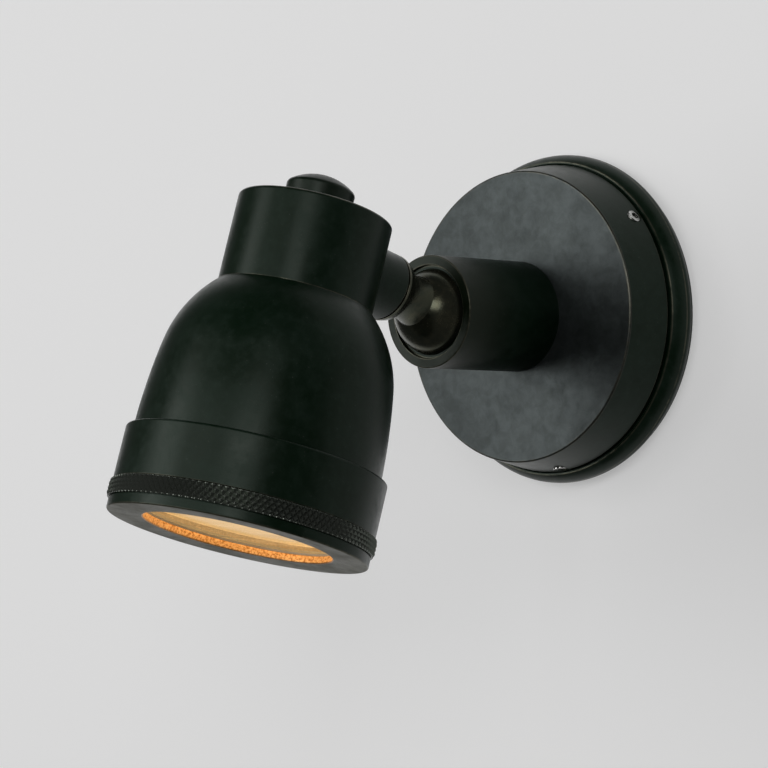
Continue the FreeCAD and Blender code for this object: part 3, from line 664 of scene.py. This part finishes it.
def makeCanopy():
    size = canopySize
    inside = size["front"] - size["wall"]
    shell = asObject("canopyShell", turnedMesh("canopyShell", [
        (size["middle"], inside), (size["bore"], inside, 1.0), (size["bore"], size["rear"]),
        (size["rearRadius"], size["rear"], 0.4), (size["frontRadius"], size["front"], 0.7),
        (size["middle"], size["front"])]))
    cutters = []
    for angle in size["screwAngles"]:
        hole = turnedMesh("hole", [(0, 40), (size["holeRadius"], 40), (size["holeRadius"], 60),
                                   (0, 60)], 48)
        hole.transform(acrossCanopy(angle))
        cutters.append(hole)
    carved(shell, cutters)
    return finished(shell, "wall", "canopy", "fixture", "canopy")


screwSize = {"radius": 2.45, "tip": 48.3, "end": 52.95, "keyFlats": 2.5, "keyDepth": 2.4}


def makeGrubScrews():
    size = screwSize
    turns = 5       # thread grooves seen in the hole
    body = [(0, size["tip"]), (0.3, size["tip"]), (size["radius"], size["tip"] + 2.15)]
    pitch = (size["end"] - 0.5 - body[-1][1]) / turns
    for turn in range(turns):
        low = body[-1][1]
        body += [(size["radius"] - 0.25, low + pitch / 2), (size["radius"], low + pitch)]
    body += [(size["radius"], size["end"], 0.25), (0, size["end"])]
    screw = asObject("canopyScrews", turnedMesh("canopyScrews", body, 64))
    corner = size["keyFlats"] / math.sqrt(3)
    key = prism([(corner * math.cos(math.radians(60 * i)), corner * math.sin(math.radians(60 * i)))
                 for i in range(6)], size["end"] - size["keyDepth"], size["end"] + 1)
    carved(screw, [key])
    screw.data.transform(acrossCanopy(0))
    ringTree().use(screw, {
        "Count": 3, "Start": math.radians(-canopySize["screwAngles"][0]),
        "Step": math.radians(-120), "Material": finishes["steel"]})
    return finished(screw, "wall", "steel", "fixture", "canopy_grub_screws")


tubeSize = {
    "wireWay": 6.0, "spigotRear": 13.5, "spigot": 12.0, "front": 26.8, "radius": 18.9,
    "mouth": 71.4, "bore": 15.55, "floor": 44.0,
}


def makeTube():
    size = tubeSize
    tube = asObject("socketTube", turnedMesh("socketTube", [
        (size["wireWay"], size["spigotRear"]), (size["spigot"], size["spigotRear"], 0.5),
        (size["spigot"], size["front"]), (size["radius"], size["front"]),
        (size["radius"], size["mouth"], 0.4), (size["bore"], size["mouth"], 0.25),
        (size["bore"], size["floor"]), (size["wireWay"], size["floor"])]))
    return finished(tube, "wall", "tube", "fixture", "socket_tube")


makeCanopy()
makeGrubScrews()
makeTube()
print("wall side made")


# ---- head
headSize = {
    "neck": 25.2, "neckWall": 2.0, "top": 13.1, "ceiling": 10.6, "shoulder": -16.4,
    "domeArc": 40.8, "sideArc": 207.0, "sideLevel": -71.6, "sideRadius": 39.94,
    "wall": 1.8, "bottom": -72.0, "bore": 3.05, "stemHole": 9.05,
}


def bellArcs(wall):
    # where neck, dome and side of the bell meet, and the two arcs' centres
    size = headSize
    sideCentre = Vector((size["sideRadius"] - size["sideArc"], size["sideLevel"]))
    reach = Vector((size["neck"], size["shoulder"])) - sideCentre
    gap = size["sideArc"] - size["domeArc"]
    span = reach.length
    along = (gap ** 2 - size["domeArc"] ** 2 + span ** 2) / (2 * span)
    aside = math.sqrt(gap ** 2 - along ** 2)
    domeCentre = sideCentre + Vector((reach.x * along + reach.y * aside,
                                      reach.y * along - reach.x * aside)) / span
    outwards = (domeCentre - sideCentre).normalized()
    sideArc = size["sideArc"] - wall
    domeArc = size["domeArc"] - wall
    neck = size["neck"] - (size["neckWall"] if wall else 0)
    start = (neck, domeCentre.y + math.sqrt(domeArc ** 2 - (neck - domeCentre.x) ** 2))
    joint = tuple(sideCentre + outwards * sideArc)
    end = (sideCentre.x + math.sqrt(sideArc ** 2 - (size["bottom"] - sideCentre.y) ** 2),
           size["bottom"])
    return start, joint, end, tuple(domeCentre), tuple(sideCentre)


def makeHousing():
    size = headSize
    start, joint, end, domeCentre, sideCentre = bellArcs(0)
    innerStart, innerJoint, innerEnd, domeCentre, sideCentre = bellArcs(size["wall"])
    shell = asObject("lampHousing", turnedMesh("lampHousing", [
        (size["bore"], size["ceiling"]), (innerStart[0], size["ceiling"], 0.5), innerStart,
        (*innerJoint, *domeCentre), (*innerEnd, *sideCentre), end, (*joint, *sideCentre),
        (*start, *domeCentre), (size["neck"], size["top"], 1.0), (size["bore"], size["top"])],
        320))
    hole = turnedMesh("hole", [(0, 15), (size["stemHole"], 15), (size["stemHole"], 30), (0, 30)], 64)
    hole.transform(Matrix.Rotation(math.radians(-90), 4, "X"))
    carved(shell, [hole])
    return finished(shell, "head", "housing", "head", "lamp_housing")


capSize = {"radius": 11.2, "edge": 1.5, "dome": 17.3, "apex": 24.75, "bore": 3.05, "depth": 20.2}


def makeCap():
    size = capSize
    domeCentre = size["apex"] - size["dome"]
    edgeRadius = size["radius"] - size["edge"]
    edgeHeight = domeCentre + math.sqrt((size["dome"] - size["edge"]) ** 2 - edgeRadius ** 2)
    reach = size["dome"] / (size["dome"] - size["edge"])
    cap = asObject("topCap", turnedMesh("topCap", [
        (size["bore"], headSize["top"]), (size["radius"] - 0.35, headSize["top"], 0.3),
        (size["radius"], edgeHeight),
        (edgeRadius * reach, domeCentre + (edgeHeight - domeCentre) * reach, edgeRadius, edgeHeight),
        (0, size["apex"], 0, domeCentre), (0, size["depth"]), (size["bore"], size["depth"])],
        160, 6))
    return finished(cap, "head", "cap", "head", "top_cap")


bandSize = {
    "bore": 40.0, "radius": 42.2, "top": -68.6, "bottom": -86.35, "thread": 39.01,
    "relief": -78.9, "neck": 37.0, "shoulder": -77.05, "lip": 38.2, "ledge": -72.05,
}


def makeBand():
    size = bandSize
    band = asObject("bandRing", turnedMesh("bandRing", [
        (size["bore"], size["top"]), (size["radius"], size["top"], 0.8),
        (size["radius"], size["bottom"], 0.3), (size["thread"], size["bottom"]),
        (size["thread"], size["relief"]), (size["neck"], size["relief"]),
        (size["neck"], size["shoulder"]), (size["lip"], size["shoulder"]),
        (size["lip"], size["ledge"]), (size["bore"], size["ledge"])], 320))
    return finished(band, "head", "band", "head", "band_ring")


bezelSize = {
    "radius": 42.09, "bottom": -95.73, "dish": 0.38, "aperture": 30.5, "ledge": -92.9,
    "inner": 36.0, "spigot": 38.95, "spigotTop": -79.5, "sideTop": -92.45, "groove": 41.6,
    "knurlTop": -86.5, "knurlBottom": -92.05, "knurlRoot": 42.3, "knurlRise": 0.8,
    "around": 124, "pitch": 2.75, "flat": 0.92, "lowCut": 0.7, "highCut": 0.45,
    "clipHeight": -88.2, "clipRadius": 35.75, "clipGroove": 0.9,
}


def makeBezel():
    size = bezelSize
    mouth = math.sqrt(size["clipGroove"] ** 2 - (size["inner"] - size["clipRadius"]) ** 2)
    low, high, root = size["knurlBottom"], size["knurlTop"], size["knurlRoot"]
    outline = outlinePoints([
        (size["aperture"], size["bottom"] + size["dish"], 0.3),
        (size["radius"], size["bottom"], 0.5), (size["radius"], size["sideTop"]),
        (size["groove"], size["sideTop"] + 0.2), (size["groove"], low), (root, low), (root, high),
        (size["spigot"], high), (size["spigot"], size["spigotTop"], 0.5),
        (size["inner"], size["spigotTop"]), (size["inner"], size["clipHeight"] + mouth),
        (size["inner"], size["clipHeight"] - mouth, size["clipRadius"], size["clipHeight"]),
        (size["inner"], size["ledge"]), (size["aperture"], size["ledge"], 0.3)], 24)
    cells = 8       # mesh cells in one period of the knurl
    levels = [low + size["pitch"] * i / cells
              for i in range(int((high - low) / size["pitch"] * cells) + 1)] + [high]
    kept = [p for p in outline if abs(p.x - root) > 1e-4]
    after = next(i for i, p in enumerate(kept) if abs(p.x - size["groove"]) < 1e-4
                 and abs(p.y - low) < 1e-4) + 1
    points = kept[:after] + [Vector((root, level)) for level in levels] + kept[after:]

    def alongCreases(row, column):
        # the pyramids' edges run corner to corner through the cells
        level = row - after
        if not 0 <= level < len(levels) - 2:
            return None
        if (column - level) % (cells // 2) == 0:
            return "rising"
        if (column + level + 1) % (cells // 2) == 0:
            return "falling"
        return None

    ring = asObject("bezelRing", turnedMesh(
        "bezelRing", points, size["around"] * cells, split=alongCreases))
    knurlTree().use(ring, {
        "Around": float(size["around"]), "Pitch": size["pitch"] * mm,
        "Low": low * mm, "High": high * mm, "Root": root * mm,
        "Rise": size["knurlRise"] * mm, "Flat": size["flat"],
        "Low Cut": size["lowCut"] * mm, "High Cut": size["highCut"] * mm,
        "Material": finishes["bezel"]})
    return finished(ring, "head", "bezel", "screw_ring", "bezel_ring", 24)


lensSize = {"radius": 35.6, "low": -92.1, "thick": 3.0}


def makeLens():
    size = lensSize
    high = size["low"] + size["thick"]
    lens = asObject("lensDisc", turnedMesh("lensDisc", [
        (0, size["low"]), (size["radius"], size["low"], 0.5), (size["radius"], high, 0.5),
        (0, high)], 192))
    return finished(lens, "head", "lens", "lens_pack", "lens_glass")


lampSize = {"radius": 25.0, "front": -62.0, "rim": 2.2, "pitch": 3.6, "reach": 21.5, "rise": 0.5}


def makeLampFront():
    size = lampSize
    high = size["front"] + size["rim"] - 0.05
    outline = outlinePoints([
        (0, size["front"]), (size["radius"], size["front"], 0.8), (size["radius"], high), (0, high)])
    rows = [Vector((size["reach"] * i / 48, size["front"])) for i in range(49)]
    rest = [p for p in outline if not (p.x < size["reach"] and abs(p.y - size["front"]) < 1e-4)]
    start = next(i for i, p in enumerate(rest) if abs(p.y - size["front"]) < 1e-4)
    points = rows + rest[start:] + rest[:start]
    disc = asObject("lampFront", turnedMesh("lampFront", points, 216))
    pillowTree().use(disc, {
        "Front": size["front"] * mm, "Pitch": size["pitch"] * mm, "Reach": size["reach"] * mm,
        "Rise": size["rise"] * mm, "Material": finishes["lampFront"]})
    return finished(disc, "head", "lampFront", "lamp", "lamp_cover")


makeHousing()
makeCap()
makeBand()
makeBezel()
makeLens()
makeLampFront()
print("head made")


# ---- finishes of the CAD nodes that stay
carried = {
    "wallPlate": ["wall_plate"],
    "retainer": ["retaining_ring"],
    "ball": ["ball_stud"],
    "stem": ["stem_sleeve"],
    "rubber": ["cable_grommet", "seam_washer"],
    "zinc": ["earth_washer", "tube_washer", "tube_nut", "thrust_washer", "shank_washer",
             "shank_nut", "saddle_nut", "stud_nut", "holder_bracket", "holder_screws",
             "roll_stop_pin", "cap_stud"],
    "brass": ["earth_screw", "terminal_clamp_screws", "lamp_pins"],
    "steel": ["terminal_fixing_screws"],
    "whitePlastic": ["terminal_block"],
    "blackPlastic": ["wire_bush", "friction_seat"],
    "spring": ["disc_springs", "lens_clip"],
    "ceramic": ["lampholder"],
    "liner": ["inner_liner"],
    "lampShell": ["lamp_body"],
    "capsule": ["lamp_capsule"],
    "silicone": ["lens_gasket"],
}
for finish, names in carried.items():
    for name in names:
        for slot in nodes[name].material_slots:
            slot.material = finishes[finish]
print("CAD nodes dressed")


# ---- stage: a pale wall, three soft lights in front of it and a dim room around them
stageLook = {
    "wallAlbedo": 0.62, "wallGlow": 0.37, "wallHalf": 0.50, "worldGlow": 0.68, "roomGlow": 0.08,
    "leftPower": 8.0, "rightPower": 4.2, "middlePower": 3.4, "backPower": 0.8,
}


def wallPaint():
    finish = Finish("paleWall")
    path = finish.tree.nodes.new("ShaderNodeLightPath")
    across = finish.node("ShaderNodeSeparateXYZ", {}, {0: finish.point}, "X")
    # painted shade: in reflections the wall's glow falls to a quarter on its right side
    mirroredGlowShadedRight = Wire(finish, path.outputs["Is Glossy Ray"]) \
        * (0.25 + finish.step(across, 0.16, -0.04) * 0.75)
    seen = finish.larger(finish.larger(Wire(finish, path.outputs["Is Camera Ray"]), mirroredGlowShadedRight),
                         Wire(finish, path.outputs["Is Transmission Ray"]))
    paint = finish.node("ShaderNodeBsdfDiffuse", {}, {"Color": (stageLook["wallAlbedo"],) * 3})
    glow = finish.node("ShaderNodeEmission", {}, {
        "Color": (1.0, 1.0, 1.0), "Strength": seen * stageLook["wallGlow"]})
    both = finish.node("ShaderNodeAddShader", {}, {0: paint, 1: glow})
    clear = finish.node("ShaderNodeBsdfTransparent", {}, {})
    behind = finish.node("ShaderNodeNewGeometry", {}, {}, "Backfacing") \
        * Wire(finish, path.outputs["Is Camera Ray"])
    mixed = finish.node("ShaderNodeMixShader", {}, {0: behind, 1: both, 2: clear})
    finish.tree.links.new(mixed.socket, finish.out.inputs[0])
    return finish.material


def makeWall():
    # one pale sheet with a round opening behind the plate, so that its back shows from behind
    opening = 0.0540
    half = stageLook["wallHalf"]
    count = 96
    vertices = []
    for i in range(count):
        angle = 2 * math.pi * i / count
        x, z = math.cos(angle), math.sin(angle)
        reach = half / max(abs(x), abs(z))
        vertices += [(x * opening, 0.0003, z * opening), (x * reach, 0.0003, z * reach)]
    faces = []
    for i in range(count):
        j = (i + 1) % count
        faces.append([2 * i, 2 * i + 1, 2 * j + 1, 2 * j])
    mesh = bpy.data.meshes.new("paleWall")
    mesh.from_pydata(vertices, [], faces)
    wall = asObject("paleWall", mesh)
    mesh.materials.append(wallPaint())
    if mesh.polygons[0].normal.y > 0:
        mesh.flip_normals()


def makeRoom():
    # the dim room that the bronze mirrors, closed around the wall; the camera doesn't see it
    finish = Finish("dimRoom")
    finish.principled(
        {"Roughness": 0.9, "Emission Color": (1.0, 1.0, 1.0),
         "Emission Strength": stageLook["roomGlow"]}, {"Base Color": (0.02, 0.02, 0.02)})
    radius = 3.2
    rows = 16
    turns = 48
    vertices = []
    for i in range(-1, rows + 1):
        lift = math.pi / 2 * max(i, 0) / rows
        reach = radius * math.cos(lift) if i >= 0 else stageLook["wallHalf"]
        for j in range(turns):
            angle = 2 * math.pi * j / turns
            vertices.append((reach * math.cos(angle), 0.002 - radius * math.sin(lift),
                             reach * math.sin(angle)))
    faces = [[i * turns + j, i * turns + (j + 1) % turns, (i + 1) * turns + (j + 1) % turns,
              (i + 1) * turns + j] for i in range(rows + 1) for j in range(turns)]
    mesh = bpy.data.meshes.new("dimRoom")
    mesh.from_pydata(vertices, [], faces)
    mesh.materials.append(finish.material)
    room = asObject("dimRoom", mesh)
    room.visible_camera = False


def softLight(name, place, size, power):
    lamp = bpy.data.lights.new(name, "AREA")
    lamp.shape = "RECTANGLE"
    lamp.size, lamp.size_y = size
    lamp.energy = power
    light = bpy.data.objects.new(name, lamp)
    light.location = place
    light.rotation_euler = (Vector((0, -0.08, 0)) - Vector(place)).to_track_quat("-Z", "Y").to_euler()
    bpy.context.scene.collection.objects.link(light)


def makeWorld():
    world = bpy.data.worlds.new("paleStudio")
    bpy.context.scene.world = world
    world.use_nodes = True
    pale = world.node_tree.nodes["Background"]
    pale.inputs["Color"].default_value = (1, 1, 1, 1)
    pale.inputs["Strength"].default_value = stageLook["worldGlow"]


makeWall()
makeRoom()
makeWorld()
softLight("leftLight", (-0.90, -1.39, 0.26), (0.75, 1.15), stageLook["leftPower"])
softLight("rightLight", (0.90, -1.36, 0.46), (0.72, 0.62), stageLook["rightPower"])
softLight("middleLight", (0.0, -1.66, 0.34), (0.80, 1.00), stageLook["middlePower"])
softLight("backLight", (0.0, 1.2, 0.6), (0.8, 0.8), stageLook["backPower"])


# ---- camera at the photograph's place
cameraView = {
    "place": (0.68244, -0.79747, -0.05329), "turn": 44.07, "rise": -1.68,
    "lens": 140.625, "sensor": 36.0,
}
turn = math.radians(cameraView["turn"])
rise = math.radians(cameraView["rise"])
right = Vector((math.cos(turn), math.sin(turn), 0))
back = Vector((math.sin(turn) * math.cos(rise), -math.cos(turn) * math.cos(rise), math.sin(rise)))
up = back.cross(right)
photoCamera = bpy.data.cameras.new("photoCamera")
photoCamera.lens = cameraView["lens"]
photoCamera.sensor_width = cameraView["sensor"]
photoCamera.clip_start = 0.01
camera = bpy.data.objects.new("photoCamera", photoCamera)
camera.matrix_world = Matrix.Translation(cameraView["place"]) @ Matrix((right, up, back)).transposed().to_4x4()
bpy.context.scene.collection.objects.link(camera)
bpy.context.scene.camera = camera
bpy.context.scene.view_settings.view_transform = "Standard"
print("stage, lights and camera made")
